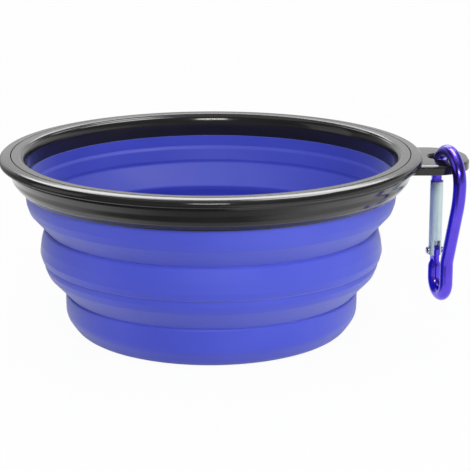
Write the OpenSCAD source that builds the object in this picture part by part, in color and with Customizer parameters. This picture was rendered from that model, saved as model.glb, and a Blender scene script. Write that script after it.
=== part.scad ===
// Collapsible silicone travel bowl with a rigid rim and a small carabiner.
// The bowl stands open on its base. The origin is the centre of the base's
// underside, +Z is up and the rim's ear points along +X.

/* [Rim] */
// Outer diameter over the bead
rim_d = 130; // [110:1:160]
// Radial width of the bead outside the skirt's root
bead_w = 2.9; // [2.5:0.1:3.5]
// Height of the bead's flat top above its widest circle
bead_rise = 1.1; // [0.8:0.1:1.6]
// Radius of the bead's upper edge
bead_edge = 0.7; // [0.4:0.1:0.8]
// Depth of the bead below the widest circle
bead_drop = 1.5; // [1.2:0.1:2.2]
// Height of the skirt below the bead
skirt_h = 7.8; // [7:0.1:9]
// How far the skirt draws in towards its lip
skirt_in = 3.6; // [3:0.1:4]
// Thickness of the skirt
skirt_wall = 1.5; // [1:0.1:2]
// Height of the clamp ring's inner wall, up to its round top
clamp_h = 4.5; // [3.6:0.1:5.4]
// Thickness of the clamp ring's inner wall
clamp_wall = 1.8; // [1.4:0.1:2.2]
// Width of the clamp ring's top
funnel_w = 4.6; // [4.2:0.1:5]
// Width of the round inner edge of the clamp ring's top
funnel_round = 1.8; // [1.2:0.1:2.4]
// Height of that round edge
funnel_drop = 2.5; // [1.6:0.1:3]

/* [Ear] */
// Reach of the ear beyond the bead
ear_reach = 14.3; // [12:0.1:18]
// Width of the ear
ear_w = 28.6; // [24:0.2:34]
// Thickness of the ear
ear_t = 2.9; // [2:0.1:3.2]
// Share of the ear's width that each round corner takes
ear_corner_share = 0.42; // [0.3:0.02:0.48]
// Diameter of the hole for the carabiner
ear_hole_d = 9.6; // [9:0.1:10.4]
// Distance from the hole's centre to the ear's outer edge
ear_hole_edge = 7.5; // [7:0.1:8]

/* [Silicone] */
// How far the collar's lower crease stands inside the rim's crest
collar_inset = 5.2; // [4.6:0.1:6]
// Height of the collar from its lower crease to the clamp ring
collar_h = 8; // [7:0.1:10]
// Height of the upper fold
upper_fold_h = 8; // [6:0.1:10]
// Width of the upper fold, from its crease in to the notch under it
upper_fold_w = 6.1; // [5:0.1:8]
// Height of the middle band
band_h = 9.5; // [7:0.1:12]
// Width of the middle band's ledge outside the notch
band_ledge_w = 1; // [0.6:0.1:1.6]
// How far the middle band bulges beyond its ledge
band_bulge_w = 1.3; // [0.6:0.1:2]
// Height of the lower fold
lower_fold_h = 10.8; // [8:0.1:13]
// Width of the lower fold, from the band in to the notch under it
lower_fold_w = 8.1; // [7:0.1:10]
// Height of the base cup
base_h = 13.6; // [11:0.1:17]
// Width of the base cup's ledge outside the notch
base_ledge_w = 0.6; // [0.4:0.1:1.2]
// Width of the round corner under the base cup's wall
base_corner_w = 7.9; // [5:0.1:11]
// Thickness of the walls
wall = 2; // [1.8:0.1:2.4]
// Thickness of the folds
fold_wall = 1.3; // [1:0.1:1.5]
// Thickness of the bowl's floor
floor_t = 2.4; // [1.8:0.1:3]

/* [Carabiner] */
// Diameter of the bar
bar_d = 4; // [3.6:0.1:4.2]
// Bend radius of the wide end, to the bar's centre
wide_r = 8.75; // [8.5:0.05:9.5]
// Distance from the ear's top down to the wide bend's centre
hang_drop = 5.5; // [5:0.1:5.6]
// Width of the narrow end, between the bar's centres
narrow_w = 9.5; // [8.5:0.1:11]
// Height between the centres of the two end bends
bend_span = 32.5; // [30:0.1:38]
// How round the spine bends below the wide end, as a share of the most
spine_share = 0.48; // [0.3:0.02:0.7]
// How round the waist bends above the narrow end, as a share of the most
waist_share = 0.11; // [0.08:0.01:0.2]
// Height of the waist above the narrow end's centre
waist_h = 5.6; // [4:0.1:7]
// Distance from the wide bend's centre down to the gate's top
gate_top_drop = 3.1; // [3:0.1:4]
// Height of the gate's rivet above the narrow end's centre
rivet_rise = 8.1; // [7:0.1:10]
// Diameter of the gate's rivet
rivet_d = 1.4; // [1.2:0.1:1.6]
// Turn of the carabiner about the ear's hole
carabiner_turn = -73.5; // [-80:0.5:-66]

/* [Hidden] */
$fn = 96;
// One overrun serves every cut
over = 1;

// Heights of the stack, from the table up
lower_notch_z = base_h;
band_z = lower_notch_z + lower_fold_h;
upper_notch_z = band_z + band_h;
crease_z = upper_notch_z + upper_fold_h;
clamp_z = crease_z + collar_h;
funnel_z = clamp_z + clamp_h;
groove_z = funnel_z + funnel_drop;

// Rim: radii, then heights from the bead's widest circle
rim_r = rim_d / 2;
crest_r = rim_r - bead_w;
bead_under_groove = 1;
widest_z = groove_z - bead_under_groove;
bead_bottom_z = widest_z - bead_drop;
lip_z = bead_bottom_z - skirt_h;
groove_w = 0.2;
groove_inset = 0.8;
groove_r = crest_r - groove_inset;
skirt_top_r = crest_r - groove_w;
lip_r = skirt_top_r - skirt_in;
// The skirt's shoulder stands out under the bead, and its belly is above the lip
shoulder_out = 1;
shoulder_drop = 0.5;
crease_out = 0.4;
neck_h_share = 0.38;
neck_in_share = 0.08;
belly_h_share = 0.55;
belly_in_share = 0.24;
belly_r = skirt_top_r - skirt_in * belly_in_share;
belly_z = bead_bottom_z - skirt_h * belly_h_share;
lip_t = 0.6;
funnel_r = groove_r - funnel_w;
seat_t = 2.6;
seat_z = groove_z - seat_t;
channel_w = 1.8;
clamp_out_r = funnel_r + clamp_wall;
channel_r = clamp_out_r + channel_w;
lead_in = 0.2;

// Collar: it stands a little inside the clamp ring, with a light step in it
collar_proud = 0.3;
collar_in_r = funnel_r - collar_proud;
collar_r = crest_r - collar_inset;
step_share = 0.45;
step_w = 0.8;
step_h = 0.9;
collar_lip_gap = 0.2;
collar_lip_r = lip_r - lip_t - collar_lip_gap;

// Folds: a steep shoulder under each crease, then a 45 degree web
upper_notch_r = collar_r - upper_fold_w;
upper_shoulder_h_share = 0.24;
upper_shoulder_in_share = 0.1;
lower_shoulder_h_share = 0.4;
lower_shoulder_in_share = 0.2;
fold_in_share = 0.8;
ledge_t = 0.9;

// Middle band: barrel shape
band_top_r = upper_notch_r + band_ledge_w;
band_r = band_top_r + band_bulge_w;
band_belly_share = 0.25;
band_foot_in = 0.6;
band_shoulder_share = 0.6;

// Base cup: nearly upright wall and a wide round corner
lower_notch_r = band_r - lower_fold_w;
base_r = lower_notch_r + base_ledge_w;
foot_r = base_r - base_corner_w;
corner_h_share = 0.45;
corner_in_share = 0.72;
corner_steps = 8;

// Ear: its upper edge and its hole are bevelled, so that the carabiner swings clear
ear_top_drop = 0.8;
ear_top_z = widest_z - ear_top_drop;
ear_end_x = rim_r + ear_reach;
ear_corner_r = ear_w * ear_corner_share;
ear_bevel = 0.8;
hole_bevel = 0.5;
hole_x = ear_end_x - ear_hole_edge;

// Carabiner, in its own frame: X from gate to spine, Z up, origin on the ear's top
nose_back = 1.9;
bar_r = bar_d / 2;
wide_z = -hang_drop;
narrow_z = wide_z - bend_span;
waist_z = narrow_z + waist_h;
spine_x = 2 * wide_r;
// The straight part of the spine is the inner tangent of its two bends. Together
// their radii can be no more than most_r, at which nothing straight is left
span_z = wide_z - waist_z;
most_r = (pow(spine_x - narrow_w, 2) + pow(span_z, 2)) / (2 * (spine_x - narrow_w));
spine_r = most_r * spine_share;
waist_r = most_r * waist_share;
span_x = narrow_w + waist_r - (spine_x - spine_r);
spine_lean = asin((spine_r + waist_r) / norm([span_x, span_z])) - atan2(span_x, span_z);

// Nose: a neck and a cross head, which the gate's lip closes against
neck_w = 2.8;
head_h = 1;
neck_h = 1.8;
nose_out_share = 0.65;
nose_in_share = 0.3;
lip_gap = 0.15;
head_gap = 0.25;
gate_lip_h = 1;
gate_top_z = wide_z - gate_top_drop - head_gap;
head_z = gate_top_z + head_gap;
neck_z = head_z + head_h;
// How far the neck and the tang run on into the round bar
root = 0.5;
bar_sides = 24;
wide_steps = 16;
narrow_steps = 12;
bend_steps = 3;

// Gate: forked over the frame's tang, bored for the plunger and its spring
rivet_z = narrow_z + rivet_rise;
rivet_fit = 0.05;
rivet_tang_fit = 0.03;
rivet_head_d = 2.5;
rivet_head_t = 0.9;
rivet_end_t = 0.5;
rivet_end_d = 2.2;
tang_t = 1.8;
tang_fit = 0.1;
tang_r = 1.7;
tang_flat = 1.35;
tang_l = 4;
tang_z = rivet_z - tang_l;
fork_up = 3.4;
fork_down = 1.5;
plunger_d = 2;
plunger_fit = 0.1;
// The plunger stands clear of the tang's round tip, so that the gate turns past it
plunger_gap = 0.05;
plunger_l = 5;
spring_wire = 0.3;
spring_fit = 0.1;
bore_cap = 5.95;
bore_top_z = gate_top_z - bore_cap;
plunger_z = rivet_z + tang_r + plunger_gap;
spring_z = plunger_z + plunger_l;

// A quarter of an ellipse, from angle a to angle b, about the point c
function bow(c, rx, ry, a, b, n) =
    [for (i = [0:n]) let (t = a + (b - a) * i / n) c + [rx * cos(t), ry * sin(t)]];

// A round bar of radius r swept along points of the carabiner's plane
module swept_bar(route, r, sides) {
    last = len(route) - 1;
    rings = [for (i = [0:last]) let (t = route[min(i + 1, last)] - route[max(i - 1, 0)], n = t / norm(t))
        for (j = [0:sides - 1]) let (out = r * cos(360 * j / sides))
            [route[i][0] + n[1] * out, r * sin(360 * j / sides), route[i][1] - n[0] * out]];
    polyhedron(rings, concat(
        [[for (j = [0:sides - 1]) j]],
        [for (i = [0:last - 1]) for (j = [0:sides - 1]) let (k = (j + 1) % sides)
            [i * sides + k, i * sides + j, (i + 1) * sides + j, (i + 1) * sides + k]],
        [[for (j = [sides - 1:-1:0]) last * sides + j]]));
}

// Stands a piece of the carabiner in the ear's hole
module hung() {
    translate([hole_x - nose_back, 0, ear_top_z]) rotate([0, 0, carabiner_turn]) children();
}

// A pin across the carabiner's plane at the rivet, from y0 to y1
module cross_pin(d, y0, y1) {
    translate([0, y1, rivet_z]) rotate([90, 0, 0]) cylinder(h = y1 - y0, d = d);
}

// The ear, a tab with round corners and a bevelled upper edge
module ear() {
    side = ear_w / 2 - ear_corner_r;
    centre = ear_end_x - ear_corner_r;
    root_x = crest_r - bead_w;
    flat_h = ear_t - ear_bevel;
    for (s = [-1, 1]) translate([centre, s * side]) {
        cylinder(h = flat_h, r = ear_corner_r);
        translate([0, 0, flat_h]) cylinder(h = ear_bevel, r1 = ear_corner_r, r2 = ear_corner_r - ear_bevel);
    }
    translate([root_x, 0, 0]) rotate([90, 0, 90]) linear_extrude(centre - root_x)
        ear_section(-ear_w / 2, ear_w / 2);
    translate([0, side, 0]) rotate([90, 0, 0]) linear_extrude(2 * side)
        ear_section(2 * root_x - ear_end_x, ear_end_x);
}

// A section of the ear, from x0 to x1, bevelled at both ends
module ear_section(x0, x1)
    polygon([[x0, 0], [x1, 0], [x1, ear_t - ear_bevel], [x1 - ear_bevel, ear_t],
             [x0 + ear_bevel, ear_t], [x0, ear_t - ear_bevel]]);

module rim_ring() color("#2b2929") {
    difference() {
        union() {
            rotate_extrude() polygon(concat(
                [[groove_r + groove_w, seat_z], [groove_r + groove_w, widest_z + bead_rise]],
                bow([rim_r - bead_edge, widest_z + bead_rise - bead_edge], bead_edge, bead_edge, 90, 0, 5),
                bow([crest_r + crease_out, widest_z], bead_w - crease_out, bead_drop, 0, -90, 8),
                [[skirt_top_r + shoulder_out, bead_bottom_z - shoulder_drop],
                 [skirt_top_r - skirt_in * neck_in_share, bead_bottom_z - skirt_h * neck_h_share],
                 [belly_r, belly_z],
                 [lip_r, lip_z + lip_t / 2], [lip_r - lip_t / 2, lip_z],
                 [lip_r - lip_t, lip_z],
                 [belly_r - skirt_wall, belly_z],
                 [channel_r, clamp_z + channel_w / 2],
                 [channel_r, seat_z]]));
            difference() {
                translate([0, 0, ear_top_z - ear_t]) ear();
                translate([0, 0, lip_z]) cylinder(h = ear_top_z, r = groove_r + 2 * groove_w);
            }
        }
        translate([hole_x, 0, ear_top_z - ear_t - over]) cylinder(h = ear_t + 2 * over, d = ear_hole_d);
        translate([hole_x, 0, ear_top_z - hole_bevel]) hole_rim();
        translate([hole_x, 0, ear_top_z - ear_t + hole_bevel]) mirror([0, 0, 1]) hole_rim();
    }
}

// A bevel that opens the ear's hole upwards, and runs on past its face
module hole_rim()
    cylinder(h = hole_bevel + over, d1 = ear_hole_d, d2 = ear_hole_d + 2 * (hole_bevel + over));

module clamp_ring() color("#353233")
    rotate_extrude() polygon(concat(
        [[funnel_r, clamp_z]],
        bow([funnel_r + funnel_round, funnel_z], funnel_round, funnel_drop, 180, 90, 8),
        [[groove_r - lead_in, groove_z], [groove_r, groove_z - lead_in], [groove_r, seat_z],
         [clamp_out_r, seat_z], [clamp_out_r, clamp_z]]));

module wall_collar() color("#5a61cf")
    rotate_extrude() polygon([
        [collar_r - wall, crease_z],
        [collar_in_r - step_w, crease_z + collar_h * step_share],
        [collar_in_r, crease_z + collar_h * step_share + step_h],
        [collar_in_r, clamp_z], [clamp_out_r, clamp_z], [clamp_out_r, seat_z],
        [channel_r, seat_z], [channel_r, clamp_z + channel_w / 2],
        [belly_r - skirt_wall, belly_z],
        [collar_lip_r, lip_z], [collar_r, crease_z]]);

// A fold: a shoulder under the crease at r1, z1, then a web down to r0, z0
module fold(r0, z0, r1, z1, in_share, h_share) {
    mid_r = r1 - (r1 - r0) * in_share;
    mid_z = z1 - (z1 - z0) * h_share;
    slope = norm([mid_r - r0, mid_z - z0]);
    in_r = fold_wall * (mid_z - z0) / slope;
    in_z = fold_wall * (mid_r - r0) / slope;
    foot = fold_wall * slope / (mid_z - z0);
    rotate_extrude() polygon([
        [r1, z1], [mid_r, mid_z], [r0, z0], [r0 - foot, z0],
        [mid_r - in_r, mid_z + in_z], [r1 - wall, z1]]);
}

module upper_fold() color("#6a70de")
    fold(upper_notch_r, upper_notch_z, collar_r, crease_z,
         upper_shoulder_in_share, upper_shoulder_h_share);

module middle_band() color("#565dcb")
    rotate_extrude() polygon(concat([
        [upper_notch_r - wall * fold_in_share, upper_notch_z],
        [band_top_r - ledge_t / 3, upper_notch_z], [band_top_r, upper_notch_z - ledge_t / 3],
        [band_r - (band_r - band_top_r) / 3, band_z + band_h * band_shoulder_share],
        [band_r, band_z + band_h * band_belly_share],
        [band_r, band_z + band_h * band_belly_share / 2],
        [band_r - band_foot_in, band_z], [band_r - band_foot_in - wall, band_z],
        [band_r - wall, band_z + band_h * band_belly_share],
        [band_r - wall, band_z + band_h * band_shoulder_share],
        [upper_notch_r - wall * fold_in_share, upper_notch_z - ledge_t]]));

module lower_fold() color("#5c63d2")
    fold(lower_notch_r, lower_notch_z, band_r - band_foot_in, band_z,
         lower_shoulder_in_share, lower_shoulder_h_share);

module base_cup() color("#525ac8") {
    corner_h = base_h * corner_h_share;
    corner_in_r = (base_h - wall - ledge_t - floor_t) * corner_in_share;
    rotate_extrude() polygon(concat(
        [[0, 0]],
        bow([foot_r, corner_h], base_r - foot_r, corner_h, -90, 0, corner_steps),
        [[base_r, base_h - ledge_t / 3], [base_r - ledge_t / 3, base_h],
         [lower_notch_r - wall * fold_in_share, base_h],
         [lower_notch_r - wall * fold_in_share, base_h - ledge_t],
         [base_r - wall, base_h - wall - ledge_t]],
        bow([base_r - wall - corner_in_r, floor_t + corner_in_r],
            corner_in_r, corner_in_r, 0, -90, corner_steps),
        [[0, floor_t]]));
}

module carabiner_frame() color("#4a39c8") hung() {
    nose_x = -bar_r * nose_out_share;
    nose_t = bar_r * (nose_out_share + nose_in_share);
    difference() {
        union() {
            swept_bar(concat(
                [[0, neck_z + neck_h]],
                bow([wide_r, wide_z], wide_r, wide_r, 180, 0, wide_steps),
                bow([spine_x - spine_r, wide_z], spine_r, spine_r,
                    -spine_lean / bend_steps, -spine_lean, bend_steps - 1),
                bow([narrow_w + waist_r, waist_z], waist_r, waist_r, 180 - spine_lean, 180, bend_steps),
                bow([narrow_w / 2, narrow_z], narrow_w / 2, narrow_w / 2, 0, -180, narrow_steps),
                [[0, tang_z]]), bar_r, bar_sides);
            // Flat tang with a rounded tip, cut off square for the plunger
            intersection() {
                translate([-tang_r, -tang_t / 2, tang_z - root])
                    cube([2 * tang_r, tang_t, rivet_z + tang_flat - tang_z + root]);
                union() {
                    translate([-tang_r, -tang_t / 2, tang_z - root])
                        cube([2 * tang_r, tang_t, rivet_z - tang_z + root]);
                    cross_pin(2 * tang_r, -tang_t, tang_t);
                }
            }
            // Nose: a neck, and the cross head that the gate closes against
            translate([nose_x, -neck_w / 2, head_z]) cube([nose_t, neck_w, neck_h + head_h + root]);
            intersection() {
                translate([0, 0, head_z]) cylinder(h = head_h, d = bar_d);
                translate([nose_x, -bar_r, head_z]) cube([nose_t, bar_d, head_h]);
            }
        }
        cross_pin(rivet_d + 2 * rivet_tang_fit, -bar_r, bar_r);
    }
}

module gate_rivet() color("#b9bcc4") hung() {
    cross_pin(rivet_d, -bar_r - rivet_fit - rivet_head_t, bar_r + rivet_fit + rivet_end_t);
    cross_pin(rivet_head_d, -bar_r - rivet_fit - rivet_head_t, -bar_r - rivet_fit);
    cross_pin(rivet_end_d, bar_r + rivet_fit, bar_r + rivet_fit + rivet_end_t);
}

module carabiner_gate() color("#a9b3bd") hung() {
    fork_z = rivet_z - fork_down;
    fork_w = tang_t + 2 * tang_fit;
    difference() {
        translate([0, 0, fork_z]) cylinder(h = gate_top_z + gate_lip_h - fork_z, d = bar_d);
        // The lip stands inside the nose's cross head
        translate([-bar_d, -bar_d, gate_top_z])
            cube([bar_d + bar_r * nose_in_share + lip_gap, 2 * bar_d, gate_lip_h + over]);
        translate([-bar_d, -fork_w / 2, fork_z - over]) cube([2 * bar_d, fork_w, fork_down + fork_up + over]);
        translate([0, 0, rivet_z]) cylinder(h = bore_top_z - rivet_z, d = plunger_d + 2 * plunger_fit);
        cross_pin(rivet_d + 2 * rivet_fit, -bar_d, bar_d);
    }
}

module gate_plunger() color("#c9ccd2") hung()
    translate([0, 0, plunger_z]) cylinder(h = plunger_l, d = plunger_d);

// The spring's outer shape is a sleeve as thick as its wire
module gate_spring() color("#8f949c") hung()
    translate([0, 0, spring_z]) difference() {
        cylinder(h = bore_top_z - spring_z, d = plunger_d - spring_fit);
        translate([0, 0, -over])
            cylinder(h = bore_top_z - spring_z + 2 * over, d = plunger_d - spring_fit - 2 * spring_wire);
    }

rim_ring();
clamp_ring();
wall_collar();
upper_fold();
middle_band();
lower_fold();
base_cup();
carabiner_frame();
gate_rivet();
carabiner_gate();
gate_plunger();
gate_spring();
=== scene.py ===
"""The looks of the collapsible silicone bowl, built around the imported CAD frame."""
import bpy, bmesh, math
from mathutils import Matrix, Vector

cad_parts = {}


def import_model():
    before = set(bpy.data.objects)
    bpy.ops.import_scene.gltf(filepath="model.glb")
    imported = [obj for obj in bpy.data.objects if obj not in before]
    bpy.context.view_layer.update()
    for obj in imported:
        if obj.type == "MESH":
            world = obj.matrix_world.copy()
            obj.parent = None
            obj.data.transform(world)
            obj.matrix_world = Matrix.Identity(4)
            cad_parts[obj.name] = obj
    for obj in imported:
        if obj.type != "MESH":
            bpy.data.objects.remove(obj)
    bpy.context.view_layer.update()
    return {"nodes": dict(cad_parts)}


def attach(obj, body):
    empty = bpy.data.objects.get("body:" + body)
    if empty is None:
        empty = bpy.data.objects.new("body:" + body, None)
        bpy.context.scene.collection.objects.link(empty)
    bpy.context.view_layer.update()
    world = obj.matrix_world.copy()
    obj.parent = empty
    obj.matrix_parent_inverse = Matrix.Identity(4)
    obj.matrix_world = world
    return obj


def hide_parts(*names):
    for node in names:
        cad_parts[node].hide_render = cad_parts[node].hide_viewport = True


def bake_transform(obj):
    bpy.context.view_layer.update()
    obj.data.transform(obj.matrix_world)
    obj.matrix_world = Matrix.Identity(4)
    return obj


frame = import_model()
scene = bpy.context.scene
MM = 0.001           # the pieces' lengths are given in millimetres, and the materials' and the stage's in metres
ROUND = 256          # faces round the bowl
ON_AXIS = 1e-6       # a radius below this lies on the axis
STRAIGHT = 0.01      # a bend below this many radians needs no fillet
FILLET_SHARE = 0.49  # the share of a side that one fillet may use


# ---------------------------------------------------------------- mesh tools
def new_object(name, verts, faces, normals=None, smooth=True):
    mesh = bpy.data.meshes.new(name)
    mesh.from_pydata(verts, [], faces)
    mesh.update()
    if smooth:
        mesh.shade_smooth()
    if normals is not None:
        mesh.normals_split_custom_set(normals)
    obj = bpy.data.objects.new(name, mesh)
    scene.collection.objects.link(obj)
    return obj


def unit(x, y):
    d = math.hypot(x, y) or 1.0
    return (x / d, y / d)


def left_of(a, b):
    """The unit normal on the left of the way from a to b."""
    u = unit(b[0] - a[0], b[1] - a[1])
    return (-u[1], u[0])


def turned(v, angle):
    c, s = math.cos(angle), math.sin(angle)
    return (v[0] * c - v[1] * s, v[0] * s + v[1] * c)


def trace(corners, step, turn=12):
    """Samples of a path of (r, z, fillet radius[, mark]) corners, each (r, z, normal in, normal out), and the sample at
    each mark. The surface's outside is on the left of the path. A corner with radius 0 stays sharp."""
    out = []
    marks = {}

    def line(a, b, nrm):
        d = math.hypot(b[0] - a[0], b[1] - a[1])
        k = max(1, int(d / step))
        for i in range(1, k):
            t = i / k
            out.append((a[0] + (b[0] - a[0]) * t, a[1] + (b[1] - a[1]) * t, nrm, nrm))

    last = corners[0][:2]
    nrm = left_of(corners[0], corners[1])
    out.append((*last, nrm, nrm))
    for a, b, c in zip(corners, corners[1:], corners[2:]):
        n0, n1 = left_of(a, b), left_of(b, c)
        r = b[2]
        u0 = unit(b[0] - a[0], b[1] - a[1])
        u1 = unit(c[0] - b[0], c[1] - b[1])
        bend = math.atan2(u0[0] * u1[1] - u0[1] * u1[0], u0[0] * u1[0] + u0[1] * u1[1])
        if r <= 0 or abs(bend) < STRAIGHT:
            line(last, b[:2], n0)
            out.append((*b[:2], n0, n1))
            mid = len(out) - 1
            last = b[:2]
        else:
            cut = r * math.tan(abs(bend) / 2)
            room = FILLET_SHARE * min(math.hypot(b[0] - a[0], b[1] - a[1]), math.hypot(c[0] - b[0], c[1] - b[1]))
            if cut > room:
                r, cut = r * room / cut, room
            p0 = (b[0] - u0[0] * cut, b[1] - u0[1] * cut)
            line(last, p0, n0)
            s = 1 if bend > 0 else -1
            centre = (p0[0] - u0[1] * r * s, p0[1] + u0[0] * r * s)
            k = max(2, 2 * math.ceil(abs(math.degrees(bend)) / (2 * turn)))
            for j in range(k + 1):
                t = bend * j / k
                q = turned((p0[0] - centre[0], p0[1] - centre[1]), t)
                nrm = turned(n0, t)
                out.append((centre[0] + q[0], centre[1] + q[1], nrm, nrm))
                if j == k // 2:
                    mid = len(out) - 1
            last = (centre[0] + q[0], centre[1] + q[1])
        if len(b) > 3:
            marks[b[3]] = mid
    end = corners[-1][:2]
    nrm = left_of(corners[-2], end)
    line(last, end, nrm)
    out.append((*end, nrm, nrm))
    return out, marks


def lathe(name, loop, count=ROUND):
    """A solid of revolution from a closed loop of samples, with each sample's own normals."""
    verts, faces, normals, ring = [], [], [], []
    for r, z, _, _ in loop:
        if r < ON_AXIS:
            ring.append([len(verts)] * count)
            verts.append((0, 0, z * MM))
        else:
            ring.append(list(range(len(verts), len(verts) + count)))
            for j in range(count):
                a = 2 * math.pi * j / count
                verts.append((r * math.cos(a) * MM, r * math.sin(a) * MM, z * MM))
    total = len(loop)
    for i in range(total):
        k = (i + 1) % total
        if loop[i][0] < ON_AXIS and loop[k][0] < ON_AXIS:
            continue
        n0, n1 = loop[i][3], loop[k][2]
        for j in range(count):
            m = (j + 1) % count
            a0, a1 = 2 * math.pi * j / count, 2 * math.pi * (j + 1) / count
            corner = [(ring[i][j], n0, a0), (ring[k][j], n1, a0), (ring[k][m], n1, a1), (ring[i][m], n0, a1)]
            seen, kept = set(), []
            for c in corner:
                if c[0] not in seen:
                    seen.add(c[0])
                    kept.append(c)
            if len(kept) > 2:
                faces.append([c[0] for c in kept])
                normals += [(c[1][0] * math.cos(c[2]), c[1][0] * math.sin(c[2]), c[1][1]) for c in kept]
    return new_object(name, verts, faces, normals)


def capped(down, up):
    """A closed loop from two runs of samples, with sharp flat faces between their ends."""
    loop = list(down) + list(up)
    for i, k in ((len(down) - 1, len(down)), (-1, 0)):
        flat = left_of(loop[i], loop[k])
        loop[i] = (*loop[i][:3], flat)
        loop[k] = (*loop[k][:2], flat, loop[k][3])
    return loop


def modify(obj, kind, **values):
    m = obj.modifiers.new(kind, kind)
    for key, value in values.items():
        setattr(m, key, value)


def boolean(obj, kind, other):
    modify(obj, "BOOLEAN", operation=kind, object=other, solver="EXACT")


def bevel(obj, width, angle):
    modify(obj, "BEVEL", width=width * MM, segments=2, limit_method="ANGLE", angle_limit=math.radians(angle))


def shaded(obj, angle):
    """Smooth, with edges sharper than angle kept."""
    obj.data.shade_smooth()
    obj.data.set_sharp_from_angle(angle=math.radians(angle))
    return obj


def tube_faces(rings, sides):
    """Faces between rings of vertices, with a flat cap on each end."""
    faces = [(i * sides + j, i * sides + (j + 1) % sides, (i + 1) * sides + (j + 1) % sides, (i + 1) * sides + j)
             for i in range(rings - 1) for j in range(sides)]
    faces.append(tuple(range(sides - 1, -1, -1)))
    faces.append(tuple((rings - 1) * sides + j for j in range(sides)))
    return faces


def applied(obj, drop=()):
    """Bakes the modifiers into the mesh, and removes the helper objects."""
    bpy.context.view_layer.update()
    deps = bpy.context.evaluated_depsgraph_get()
    mesh = bpy.data.meshes.new_from_object(obj.evaluated_get(deps))
    obj.modifiers.clear()
    old = obj.data
    obj.data = mesh
    bpy.data.meshes.remove(old)
    for d in drop:
        bpy.data.objects.remove(d)
    return obj


def box_object(name, lo, hi):
    verts = [(x * MM, y * MM, z * MM) for x in (lo[0], hi[0]) for y in (lo[1], hi[1]) for z in (lo[2], hi[2])]
    faces = [(0, 1, 3, 2), (4, 6, 7, 5), (0, 4, 5, 1), (2, 3, 7, 6), (0, 2, 6, 4), (1, 5, 7, 3)]
    return new_object(name, verts, faces, smooth=False)


def rod_object(name, p, axis, h, d, count=48):
    """A cylinder from p along axis, for cuts."""
    bm = bmesh.new()
    turn = Vector((0, 0, 1)).rotation_difference(Vector(axis)).to_matrix().to_4x4()
    place = Matrix.Translation(Vector(p) * MM) @ turn @ Matrix.Translation((0, 0, h * MM / 2))
    bmesh.ops.create_cone(bm, cap_ends=True, segments=count, radius1=d * MM / 2, radius2=d * MM / 2,
                          depth=h * MM, matrix=place)
    mesh = bpy.data.meshes.new(name)
    bm.to_mesh(mesh)
    bm.free()
    obj = bpy.data.objects.new(name, mesh)
    scene.collection.objects.link(obj)
    return obj


# ---------------------------------------------------------------- materials
def material(name):
    m = bpy.data.materials.new(name)
    m.use_nodes = True
    tree = m.node_tree
    shader = tree.nodes["Principled BSDF"]
    return m, tree, shader


def add(tree, kind, **values):
    node = tree.nodes.new(kind)
    for key, value in values.items():
        if key in node.inputs.keys():
            node.inputs[key].default_value = value
        else:
            setattr(node, key, value)
    return node


def noise(tree, scale, detail=3.0, rough=0.5, stretch=None):
    coords = tree.nodes.new("ShaderNodeTexCoord")
    n = add(tree, "ShaderNodeTexNoise", Scale=scale, Detail=detail, Roughness=rough)
    if stretch:
        mapping = tree.nodes.new("ShaderNodeMapping")
        mapping.inputs["Scale"].default_value = stretch
        tree.links.new(coords.outputs["Object"], mapping.inputs["Vector"])
        tree.links.new(mapping.outputs["Vector"], n.inputs["Vector"])
    else:
        tree.links.new(coords.outputs["Object"], n.inputs["Vector"])
    return n.outputs["Fac"]


def ramp(tree, source, stops):
    r = tree.nodes.new("ShaderNodeValToRGB")
    r.color_ramp.elements[0].position, r.color_ramp.elements[0].color = stops[0][0], (*stops[0][1], 1)
    r.color_ramp.elements[1].position, r.color_ramp.elements[1].color = stops[-1][0], (*stops[-1][1], 1)
    for at, colour in stops[1:-1]:
        e = r.color_ramp.elements.new(at)
        e.color = (*colour, 1)
    tree.links.new(source, r.inputs["Fac"])
    return r.outputs["Color"]


def span(tree, source, lo, hi, frm=(0.3, 0.7)):
    m = tree.nodes.new("ShaderNodeMapRange")
    m.inputs["From Min"].default_value, m.inputs["From Max"].default_value = frm
    m.inputs["To Min"].default_value, m.inputs["To Max"].default_value = lo, hi
    tree.links.new(source, m.inputs["Value"])
    return m.outputs["Result"]


def maths(tree, kind, *values):
    """A Math node of numbers and sockets."""
    n = add(tree, "ShaderNodeMath", operation=kind)
    for i, v in enumerate(values):
        if isinstance(v, (int, float)):
            n.inputs[i].default_value = v
        else:
            tree.links.new(v, n.inputs[i])
    return n.outputs[0]


def fade(tree, source, start, end, low, high):
    """A smooth change from low, where source is start, to high, where it is end."""
    n = add(tree, "ShaderNodeMapRange", interpolation_type="SMOOTHSTEP")
    for key, value in (("From Min", start), ("From Max", end), ("To Min", low), ("To Max", high)):
        n.inputs[key].default_value = value
    tree.links.new(source, n.inputs["Value"])
    return n.outputs["Result"]


def bump(tree, shader, source, strength, distance):
    b = add(tree, "ShaderNodeBump", Strength=strength, Distance=distance)
    tree.links.new(source, b.inputs["Height"])
    tree.links.new(b.outputs["Normal"], shader.inputs["Normal"])


def srgb(r, g, b):
    return tuple((c / 255 / 12.92) if c <= 10.3 else ((c / 255 + 0.055) / 1.055) ** 2.4 for c in (r, g, b))


def silicone_material():
    m, t, s = material("silicone")
    tones = [(0.3, srgb(66, 77, 197)), (0.5, srgb(72, 83, 204)), (0.7, srgb(79, 90, 209))]
    t.links.new(ramp(t, noise(t, 22, 2), tones), s.inputs["Base Color"])
    t.links.new(span(t, noise(t, 90, 3), 0.48, 0.57), s.inputs["Roughness"])
    s.inputs["IOR"].default_value = 1.41
    s.inputs["Sheen Weight"].default_value = 0.45
    s.inputs["Sheen Roughness"].default_value = 0.4
    s.inputs["Sheen Tint"].default_value = (0.9, 0.95, 0.8, 1)
    bump(t, s, noise(t, 900, 4, 0.6), 0.06, 0.0004)
    return m


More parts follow.
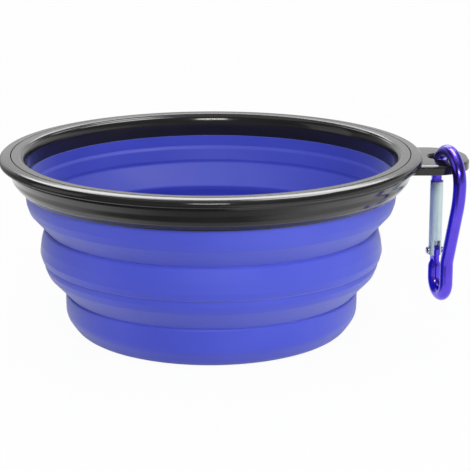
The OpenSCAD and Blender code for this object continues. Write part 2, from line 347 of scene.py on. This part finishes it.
def rim_material(name, dark, light, rough):
    m, t, s = material(name)
    t.links.new(ramp(t, noise(t, 45, 2), [(0.3, dark), (0.7, light)]), s.inputs["Base Color"])
    t.links.new(span(t, noise(t, 160, 4, 0.6), rough - 0.01, rough + 0.015), s.inputs["Roughness"])
    s.inputs["IOR"].default_value = 1.5
    bump(t, s, noise(t, 200, 2), 0.01, 0.0003)
    return m


def anodised_material():
    m, t, s = material("anodised")
    t.links.new(ramp(t, noise(t, 120, 2), [(0.3, srgb(88, 66, 218)), (0.7, srgb(104, 82, 230))]),
                s.inputs["Base Color"])
    s.inputs["Metallic"].default_value = 1
    t.links.new(span(t, noise(t, 500, 4), 0.2, 0.29), s.inputs["Roughness"])
    s.inputs["Coat Weight"].default_value = 0.25
    s.inputs["Coat Roughness"].default_value = 0.12
    bump(t, s, noise(t, 1500, 2), 0.05, 0.0001)
    return m


def metal_material(name, colour, rough, stretch=None, metallic=1.0):
    m, t, s = material(name)
    t.links.new(ramp(t, noise(t, 300, 3, 0.5, stretch), [(0.3, tuple(c * 0.9 for c in colour)), (0.7, colour)]),
                s.inputs["Base Color"])
    s.inputs["Metallic"].default_value = metallic
    t.links.new(span(t, noise(t, 700, 4, 0.6, stretch), rough - 0.05, rough + 0.06), s.inputs["Roughness"])
    bump(t, s, noise(t, 1800, 2, 0.5, stretch), 0.05, 0.00008)
    return m


SILICONE = silicone_material()
RIM = rim_material("rim_plastic", (0.012, 0.011, 0.0112), (0.018, 0.0165, 0.016), 0.12)
CLAMP = rim_material("clamp_plastic", (0.014, 0.0128, 0.013), (0.020, 0.018, 0.018), 0.14)
ANODISED = anodised_material()
GATE = metal_material("gate_aluminium", srgb(206, 226, 226), 0.44, (1, 1, 0.06), 0.5)
STEEL = metal_material("steel", srgb(196, 198, 206), 0.26)


def dress(obj, mat, body=None, nodes=(), blend=None):
    obj.data.materials.clear()
    obj.data.materials.append(mat)
    if blend:
        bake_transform(obj)
    else:
        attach(obj, body)
    if nodes:
        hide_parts(*nodes)


# ---------------------------------------------------------------- silicone, one moulding in five pieces
# Corners of the outside from the rim down, and of the inside from the clamp ring down: r, z, fillet radius, seam
OUTSIDE = [
    (57.5, 46.9, 0), (56.95, 42.2, 1.2, "a"), (56.2, 39.9, 1.3), (50.8, 33.9, 0.15, "b"), (51.4, 33.85, 0.3),
    (51.8, 33.4, 0.4), (52.0, 32.6, 1.0), (52.75, 29.6, 6.0), (53.15, 26.4, 1.3), (52.6, 24.35, 0.3, "c"),
    (51.8, 23.9, 0.25), (51.85, 22.1, 1.0), (50.95, 19.9, 2.5), (45.0, 13.6, 0.15, "d"), (45.35, 13.55, 0.2),
    (45.6, 13.1, 0.4), (45.55, 6.4, 5.5), (42.2, 1.6, 5.5), (37.1, 0.0, 3.0), (0, 0, 0)]
INSIDE = [
    (56.4, 49.9, 0), (56.4, 46.4, 0.45), (55.6, 45.5, 0.6), (54.9, 41.9, 1.0, "a"), (55.1, 40.9, 1.2),
    (49.15, 34.1, 0.9, "b"), (49.5, 32.7, 1.0), (50.9, 30.6, 1.8), (51.1, 26.7, 1.5), (50.6, 24.6, 1.0, "c"),
    (50.3, 22.4, 1.6), (49.3, 20.3, 2.0), (43.4, 13.8, 0.6, "d"), (43.4, 12.7, 0.6), (43.6, 10.4, 2.0),
    (43.5, 8.0, 5.0), (41.4, 3.0, 5.0), (36.5, 2.4, 4.0), (0, 2.4, 0)]
SOFT_STEP, HARD_STEP = 0.9, 1.5      # distance of samples along the silicone and along the rim rings
outer, outer_at = trace(OUTSIDE, SOFT_STEP)
inside, inner_at = trace(INSIDE, SOFT_STEP)
# A piece's loop walks the inside upwards, so the normals turn round
inner = [(r, z, (-b[0], -b[1]), (-a[0], -a[1])) for r, z, a, b in inside]


def wall(top, bottom, above=()):
    """The closed loop of the wall between two seams, None for the wall's own end. above leads into its outside."""
    down = outer[outer_at.get(top, 0):outer_at.get(bottom, len(outer) - 1) + 1]
    up = inner[inner_at.get(top, 0):inner_at.get(bottom, len(inner) - 1) + 1]
    return capped(list(above) + down[1:] if above else down, up[::-1])


# The collar also runs up into the channel between the two rim rings, where a bead locks it
collar_top = [(57.5, 46.9, 0), (58.0, 48.2, 1.0), (59.2, 49.9, 0.8), (60.15, 51.0, 0.4), (60.15, 54.25, 0.3),
              (58.4, 54.25, 0.3), (58.4, 49.95, 0), (56.45, 49.9, 0)]
lock, _ = trace(collar_top[::-1], SOFT_STEP)
for name, seams, above, body, node, blend in (
        ("collar", (None, "a"), lock, "rim", "wall_collar", None),
        ("upper_web", ("a", "b"), (), None, "upper_fold", ("rim", "band", 41.9, 33.9)),
        ("band_wall", ("b", "c"), (), "band", "middle_band", None),
        ("lower_web", ("c", "d"), (), None, "lower_fold", ("band", "base", 24.4, 13.6)),
        ("base_bowl", ("d", None), (), "base", "base_cup", None)):
    dress(lathe(name, wall(*seams, above)), SILICONE, body, [node], blend)

# ---------------------------------------------------------------- rim, two rigid rings
bead_corners = [
    (61.45, 54.4, 0), (61.45, 57.0, 0.15), (62.2, 56.95, 4.0), (63.3, 56.84, 6.0), (64.2, 56.68, 0.8),
    (64.75, 56.25, 1.2), (65.0, 55.45, 1.6), (64.95, 54.9, 0.25), (64.2, 54.5, 0.2), (62.6, 54.45, 0.1),
    (62.95, 54.3, 0.12), (62.95, 53.5, 0.7), (61.65, 51.4, 3.0), (61.15, 49.85, 2.5), (60.1, 48.35, 2.5),
    (58.55, 47.0, 0.25), (58.4, 46.6, 0.2), (57.75, 46.6, 0.2), (57.8, 47.0, 0.3), (59.0, 48.9, 1.0),
    (59.65, 50.1, 0.5), (60.25, 50.85, 0.3), (60.25, 54.4, 0), (61.45, 54.4, 0)]
bead, _ = trace(bead_corners, HARD_STEP)

clamp_corners = [(56.7, 49.95, 0), (58.4, 49.95, 0), (58.4, 54.35, 0), (61.25, 54.35, 0), (61.25, 57.0, 0.2),
                 (59.0, 56.98, 2.0), (58.3, 56.8, 1.5)]
# its inner edge follows an ellipse
clamp_corners += [(58.2 + 1.5 * math.cos(math.radians(a)), 52.9 + 3.6 * math.sin(math.radians(a)), 1.0)
                  for a in range(100, 181, 10)]
clamp_corners += [(56.7, 49.95, 0)]
clamp, _ = trace(clamp_corners[::-1], HARD_STEP)


def ear_object():
    """The ear with its hole and rounded edges. Each level is an outline seen from the hole's centre."""
    end, half, corner, hole_x, hole_r = 79.3, 14.3, 12.0, 71.8, 4.8
    top, thick, edge, crown, hole_edge, low = 55.1, 2.9, 0.65, 0.8, 0.5, 0.35
    root = 61.3          # the ear starts inside the bead
    count = 160

    def reach(a, inset):
        """Distance from the hole's centre to the ear's outline, drawn in by inset."""
        c, s = math.cos(a), math.sin(a)
        lo, hi = 0.0, 40.0
        for _ in range(40):
            t = (lo + hi) / 2
            x, y = hole_x + c * t, s * t
            dy = max(abs(y) - (half - corner), 0)
            if x > end - corner:
                inside = math.hypot(x - (end - corner), dy) < corner - inset
            else:
                inside = abs(y) < half - inset and math.hypot(x, y) > root
            lo, hi = (t, hi) if inside else (lo, t)
        return lo

    # Each level is (z, how far the outline is drawn in, how much the hole is widened), from the top down
    levels = [(top, crown + 1.4, hole_edge), (top - 0.03, crown + 0.8, hole_edge)]
    for a in range(0, 91, 15):
        t = math.radians(a)
        levels.append((top - 0.12 - edge * (1 - math.cos(t)), crown * (1 - math.sin(t)),
                       hole_edge * max(0.0, 1 - math.sin(t)) if a < 90 else 0.0))
    for a in range(0, 91, 15):
        t = math.radians(a)
        levels.append((top - thick + low - low * math.sin(t), low * (1 - math.cos(t)), low * (1 - math.cos(t))))
    angles = [2 * math.pi * j / count for j in range(count)]
    runs = [(z, [reach(a, inset) for a in angles]) for z, inset, _ in levels]      # the outline's
    runs += [(z, [hole_r + widen] * count) for z, _, widen in levels]              # and the hole's
    verts = [((hole_x + math.cos(a) * d) * MM, math.sin(a) * d * MM, z * MM)
             for z, far in runs for a, d in zip(angles, far)]
    faces = []
    base = len(levels) * count
    last = len(levels) - 1
    for j in range(count):
        m = (j + 1) % count
        for i in range(last):
            a, b = i * count, (i + 1) * count
            faces.append((a + j, b + j, b + m, a + m))
            faces.append((base + a + m, base + b + m, base + b + j, base + a + j))
        faces.append((j, m, base + m, base + j))
        k = last * count
        faces.append((k + m, k + j, base + k + j, base + k + m))
    obj = new_object("rim_ear", verts, faces)
    obj.data.set_sharp_from_angle(angle=math.radians(50))
    return obj


dress(lathe("rim_bead", bead[:-1]), RIM, "rim", ["rim_ring"])
dress(lathe("clamp_hoop", clamp[:-1]), CLAMP, "rim", ["clamp_ring"])
dress(ear_object(), RIM, "rim")

# ---------------------------------------------------------------- carabiner
# It is made in its own plane, x across from the gate to the spine and z up, and then hung in the ear's hole
HANG = Matrix.Translation(Vector((69.9, 0, 55.1)) * MM) @ Matrix.Rotation(math.radians(-73.5), 4, "Z")
BAR = 2.0                                   # radius of the bar and the gate
WIDE_R, WIDE_Z, NARROW_W, NARROW_Z, WAIST_Z = 8.75, -5.5, 9.5, -38.0, -32.4
SPINE_R, WAIST_R, LEAN = 23.628, 5.415, 20.218
RIVET_Z, GATE_TOP = -29.9, -8.85
FOOT = RIVET_Z - 4                          # where the bar tapers off round the tang
TANG, TANG_HALF, TIP = 1.7, 0.9, 1.35       # half the tang's width, half its thickness, its square end above the rivet
HEAD_GAP, HEAD = 0.25, 1.0                  # from the gate's mouth to the cross head, and the head's height
HEAD_BACK, HEAD_FRONT = -1.3, 0.6           # the cross head's flat sides
ROUNDING = 0.12


def arc(cx, cz, r, a, b, n):
    """n + 1 points of an arc from a to b degrees."""
    turns = [math.radians(a + (b - a) * i / n) for i in range(n + 1)]
    return [(cx + r * math.cos(t), cz + r * math.sin(t)) for t in turns]


def bar_object(name, route, radii, sides=40):
    """A round bar along points of the carabiner's plane, with a radius at each. Its faces look outwards."""
    verts = []
    last = len(route) - 1
    for i, (x, z) in enumerate(route):
        a, b = route[max(i - 1, 0)], route[min(i + 1, last)]
        u = unit(b[0] - a[0], b[1] - a[1])
        for j in range(sides):
            t = 2 * math.pi * j / sides
            verts.append(((x + u[1] * radii[i] * math.cos(t)) * MM, radii[i] * math.sin(t) * MM,
                          (z - u[0] * radii[i] * math.cos(t)) * MM))
    return new_object(name, verts, tube_faces(len(route), sides))


def plate_object(name, outline, half):
    """A flat plate of an (x, z) outline, from y = -half to half."""
    n = len(outline)
    verts = [(x * MM, y * MM, z * MM) for y in (-half, half) for x, z in outline]
    faces = [tuple(range(n)), tuple(range(2 * n - 1, n - 1, -1))]
    faces += [((i + 1) % n, i, n + i, n + (i + 1) % n) for i in range(n)]
    return new_object(name, verts, faces, smooth=False)


def frame_object():
    """The bent bar from the nose round to its foot, with the tang, the nose's neck and the cross head on it."""
    start = GATE_TOP + HEAD_GAP + HEAD + 1.8
    nose = [(0, 1.45), (0.05, 1.68), (0.15, 1.84), (0.35, 1.96), (0.6, BAR)]       # (z above start, radius)
    taper = [(-1.1, 1.98), (-0.7, 1.91), (-0.3, 1.8), (0.1, 1.64), (0.5, 1.45), (0.9, 1.24), (1.2, 1.05)]
    body = [p for p in arc(WIDE_R, WIDE_Z, WIDE_R, 180, 0, 56) if p[1] > start + 0.8 or p[0] > 1]
    body += arc(2 * WIDE_R - SPINE_R, WIDE_Z, SPINE_R, -2, -LEAN, 10)
    x0, z0 = body[-1]
    waist = arc(NARROW_W + WAIST_R, WAIST_Z, WAIST_R, 180 - LEAN, 180, 8)
    x1, z1 = waist[0]
    body += [(x0 + (x1 - x0) * t, z0 + (z1 - z0) * t) for t in (0.25, 0.5, 0.75)] + waist
    body += [(NARROW_W, NARROW_Z + 2.8)]
    body += arc(NARROW_W / 2, NARROW_Z, NARROW_W / 2, 0, -180, 40)
    body += [(0, FOOT - 2.5), (0, FOOT - 1.5)]
    route = [(0, start + dz) for dz, _ in nose] + body + [(0, FOOT + dz) for dz, _ in taper]
    radii = [r for _, r in nose] + [BAR] * len(body) + [r for _, r in taper]
    bar = bar_object("carabiner_bar", route, radii)

    # the tang's tip is round but for its square end under the plunger
    square = math.degrees(math.asin(TIP / TANG))
    outline = [(-TANG, FOOT - 0.6), (TANG, FOOT - 0.6)]
    outline += arc(0, RIVET_Z, TANG, 0, square, 14) + arc(0, RIVET_Z, TANG, 180 - square, 180, 14)
    tang = plate_object("tang", outline, TANG_HALF)
    # the neck lies just inside the head's sides, so that no two faces share a plane
    neck = box_object("neck", (HEAD_BACK + 0.02, -1.38, GATE_TOP + HEAD_GAP + 0.1),
                      (HEAD_FRONT - 0.02, 1.38, start + 0.5))
    head = rod_object("head", (0, 0, GATE_TOP + HEAD_GAP), (0, 0, 1), HEAD, 2 * BAR)
    trim = box_object("trim", (HEAD_BACK, -3, GATE_TOP - 1), (HEAD_FRONT, 3, GATE_TOP + 3))
    boolean(head, "INTERSECT", trim)
    applied(head, [trim])
    for part in (tang, neck, head):
        bevel(part, ROUNDING, 40)
        applied(part)
    hole = rod_object("hole", (0, -3, RIVET_Z), (0, 1, 0), 6, 1.46)
    boolean(tang, "DIFFERENCE", hole)
    applied(tang, [hole])
    for part in (tang, neck, head):
        boolean(bar, "UNION", part)
    applied(bar, [tang, neck, head])
    return shaded(bar, 38)


def gate_object():
    """The tube with its mouth over the cross head, its fork over the tang, its bore and its rivet hole."""
    fork_z = RIVET_Z - 1.5
    top = GATE_TOP + 1.0
    count = 64
    levels = [(fork_z, 1.85), (fork_z + 0.06, 1.95), (fork_z + 0.16, BAR), (GATE_TOP - 0.02, BAR),
              (top - 0.16, BAR), (top - 0.06, 1.95), (top, 1.85)]
    verts = [(r * math.cos(2 * math.pi * j / count) * MM, r * math.sin(2 * math.pi * j / count) * MM, z * MM)
             for z, r in levels for j in range(count)]
    gate = new_object("gate_tube", verts, tube_faces(len(levels), count))
    cuts = [box_object("mouth", (-4, -4, GATE_TOP), (0.75, 4, GATE_TOP + 3)),
            box_object("fork", (-4, -1.0, fork_z - 1), (4, 1.0, RIVET_Z + 3.4)),
            rod_object("bore", (0, 0, RIVET_Z), (0, 0, 1), GATE_TOP - 5.95 - RIVET_Z, 2.2),
            rod_object("rivet_hole", (0, -4, RIVET_Z), (0, 1, 0), 8, 1.5)]
    for cut in cuts:
        boolean(gate, "DIFFERENCE", cut)
    bevel(gate, 0.07, 50)
    applied(gate, cuts)
    return shaded(gate, 38)


def rivet_object():
    """A rivet across the fork, with a domed head on one side and a closed end on the other."""
    run, _ = trace([(0, -2.95, 0), (0.7, -2.93, 0.8), (1.15, -2.65, 0.4), (1.25, -2.2, 0.2), (1.2, -2.05, 0.05),
                    (0.7, -2.05, 0), (0.7, 2.05, 0), (1.05, 2.05, 0.05), (1.1, 2.3, 0.15), (0.8, 2.5, 0.2),
                    (0, 2.55, 0)][::-1], 0.4)
    obj = lathe("gate_pin", run, 40)
    obj.data.transform(Matrix.Translation((0, 0, RIVET_Z * MM)) @ Matrix.Rotation(math.radians(-90), 4, "X"))
    return obj


def coil_object():
    """The gate's spring, a coil of round wire with closed ends. wire is the wire's radius."""
    z0, z1, r, wire, turns, closed = -23.15, -14.8, 0.75, 0.15, 13, 1.5
    steps, sides = turns * 20, 8
    rise = z1 - z0 - 2 * wire
    route = []
    for i in range(steps + 1):
        n = i / steps * turns
        if n < closed:
            z = n * 2 * wire
        elif n > turns - closed:
            z = rise - (turns - n) * 2 * wire
        else:
            z = 2 * closed * wire + (n - closed) / (turns - 2 * closed) * (rise - 4 * closed * wire)
        a = 2 * math.pi * n
        route.append(Vector((r * math.cos(a), r * math.sin(a), z0 + wire + z)))
    verts = []
    for i, p in enumerate(route):
        along = (route[min(i + 1, steps)] - route[max(i - 1, 0)]).normalized()
        out = Vector((p.x, p.y, 0)).normalized()
        up = along.cross(out).normalized()
        out = up.cross(along)
        for j in range(sides):
            t = 2 * math.pi * j / sides
            verts.append(tuple((p + out * wire * math.cos(t) + up * wire * math.sin(t)) * MM))
    return new_object("gate_coil", verts, tube_faces(len(route), sides))


def hung(obj):
    obj.data.transform(HANG)
    return obj


dress(hung(frame_object()), ANODISED, "carabiner", ["carabiner_frame"])
dress(hung(gate_object()), GATE, "gate", ["carabiner_gate"])
dress(hung(rivet_object()), STEEL, "carabiner", ["gate_rivet"])
dress(hung(coil_object()), STEEL, "gate", ["gate_spring"])
plunger = frame["nodes"]["gate_plunger"]
plunger.data.materials.clear()
plunger.data.materials.append(STEEL)


# ---------------------------------------------------------------- stage
def seen(tree):
    """Whether a ray comes straight from the camera, and whether it is a reflection."""
    path = tree.nodes.new("ShaderNodeLightPath")
    plain = maths(tree, "MAXIMUM", path.outputs["Is Camera Ray"], path.outputs["Is Transmission Ray"])
    return plain, path.outputs["Is Glossy Ray"]


def world():
    """White behind the object and round its foot. Reflections see it dimmer above, at the left and near the horizon."""
    w = bpy.data.worlds.new("studio")
    scene.world = w
    w.use_nodes = True
    t = w.node_tree
    t.nodes.clear()
    plain, glossy = seen(t)
    coords = t.nodes.new("ShaderNodeTexCoord")
    axes = t.nodes.new("ShaderNodeSeparateXYZ")
    t.links.new(coords.outputs["Generated"], axes.inputs[0])
    x, y, z = (axes.outputs[k] for k in "XYZ")
    edge = maths(t, "MULTIPLY_ADD", y, 0.2, 0.26)          # the height up to which it is white
    above = fade(t, maths(t, "SUBTRACT", z, edge), -0.1, 0.12, 1.0, 0.14)
    side = fade(t, x, -0.8, -0.35, 0.3, 1.0)
    horizon = fade(t, z, 0.02, 0.18, 0.55, 1.0)
    mirrored = maths(t, "MULTIPLY", glossy, maths(t, "MULTIPLY", above, side))
    mirrored = maths(t, "MULTIPLY", mirrored, horizon)
    rest = maths(t, "SUBTRACT", 1.0, maths(t, "MAXIMUM", plain, glossy))
    level = maths(t, "ADD", maths(t, "MAXIMUM", plain, mirrored), maths(t, "MULTIPLY", rest, 0.3))
    back = add(t, "ShaderNodeBackground", Color=(1, 1, 1, 1))
    out = t.nodes.new("ShaderNodeOutputWorld")
    t.links.new(level, back.inputs["Strength"])
    t.links.new(back.outputs[0], out.inputs["Surface"])


def floor():
    """A pale floor that keeps a share of the object's shadow. Reflections see it glow white behind the bowl, with
    painted shade in front of the bowl and a painted shadow round its foot.
    """
    s = 3.0
    obj = new_object("floor", [(-s, -s, 0), (s, -s, 0), (s, s, 0), (-s, s, 0)], [(0, 1, 2, 3)])
    m, t, p = material("floor")
    p.inputs["Base Color"].default_value = (0.9, 0.9, 0.9, 1)
    p.inputs["Roughness"].default_value = 0.9
    p.inputs["Specular IOR Level"].default_value = 0.0
    plain, mirrored = seen(t)
    coords = t.nodes.new("ShaderNodeTexCoord")
    axes = t.nodes.new("ShaderNodeSeparateXYZ")
    t.links.new(coords.outputs["Object"], axes.inputs[0])
    reach = add(t, "ShaderNodeVectorMath", operation="LENGTH")
    t.links.new(coords.outputs["Object"], reach.inputs[0])
    # painted shade in reflections: dark in front of and left of the bowl, dimmer far out on the left, painted shadow
    # round its foot
    levels = [fade(t, axes.outputs["X"], 0.02, 0.07, 0.12, 1.0), fade(t, axes.outputs["Y"], -0.085, -0.04, 0.12, 1.0)]
    side = fade(t, axes.outputs["X"], -0.26, -0.12, 0.3, 1.0)
    foot_shadow = fade(t, reach.outputs["Value"], 0.037, 0.05, 0.05, 1.0)
    level = maths(t, "MULTIPLY", foot_shadow, maths(t, "MULTIPLY", side, maths(t, "MAXIMUM", *levels)))
    white = t.nodes.new("ShaderNodeEmission")
    t.links.new(maths(t, "MAXIMUM", plain, level), white.inputs["Strength"])
    share = t.nodes.new("ShaderNodeMixShader")
    t.links.new(maths(t, "MAXIMUM", maths(t, "MULTIPLY", plain, 0.96), mirrored), share.inputs[0])
    t.links.new(p.outputs[0], share.inputs[1])
    t.links.new(white.outputs[0], share.inputs[2])
    t.links.new(share.outputs[0], t.nodes["Material Output"].inputs["Surface"])
    obj.data.materials.append(m)


def lamp(name, at, size, power, target=(0, 0, 0.03), diffuse=True, glossy=True):
    """A lamp that the camera doesn't see, aimed at target, in metres and watts."""
    data = bpy.data.lights.new(name, "AREA")
    data.shape = "RECTANGLE"
    data.size, data.size_y = size
    data.energy = power
    obj = bpy.data.objects.new(name, data)
    scene.collection.objects.link(obj)
    obj.location = at
    obj.rotation_euler = (Vector(target) - Vector(at)).to_track_quat("-Z", "Y").to_euler()
    obj.visible_camera, obj.visible_diffuse, obj.visible_glossy = False, diffuse, glossy


def camera():
    data = bpy.data.cameras.new("photo_view")
    data.sensor_fit = "HORIZONTAL"
    data.sensor_width, data.lens = 36.0, 136.75
    obj = bpy.data.objects.new("photo_view", data)
    scene.collection.objects.link(obj)
    obj.location = (0.00739, -0.53827, 0.17417)
    obj.rotation_euler = (math.radians(75.0), 0, 0)
    scene.camera = obj


world()
floor()
lamp("overhead", (0.0, 0.1, 0.85), (1.0, 0.9), 1.5)
lamp("flash", (0.0, -0.64, 0.46), (0.23, 0.13), 2.0, (0, 0, 0.045))
lamp("key", (0.0, -0.62, 0.5), (0.4, 0.3), 0.8, glossy=False)
lamp("card", (0.0575, 0.0425, 0.195), (0.06, 0.1), 0.17, (0.0725, -0.01, 0.057), diffuse=False)
lamp("left", (-0.75, -0.05, 0.3), (0.5, 0.5), 0.5)
lamp("right", (0.75, -0.2, 0.14), (0.5, 0.24), 2.0, glossy=False)
lamp("back", (-0.04, 0.95, 0.57), (0.58, 0.24), 1.6)
lamp("high_left", (-0.42, 0.8, 0.85), (0.25, 0.25), 0.6)
lamp("high_right", (0.42, 0.8, 0.85), (0.25, 0.25), 0.6)
camera()
scene.view_settings.view_transform = "Standard"
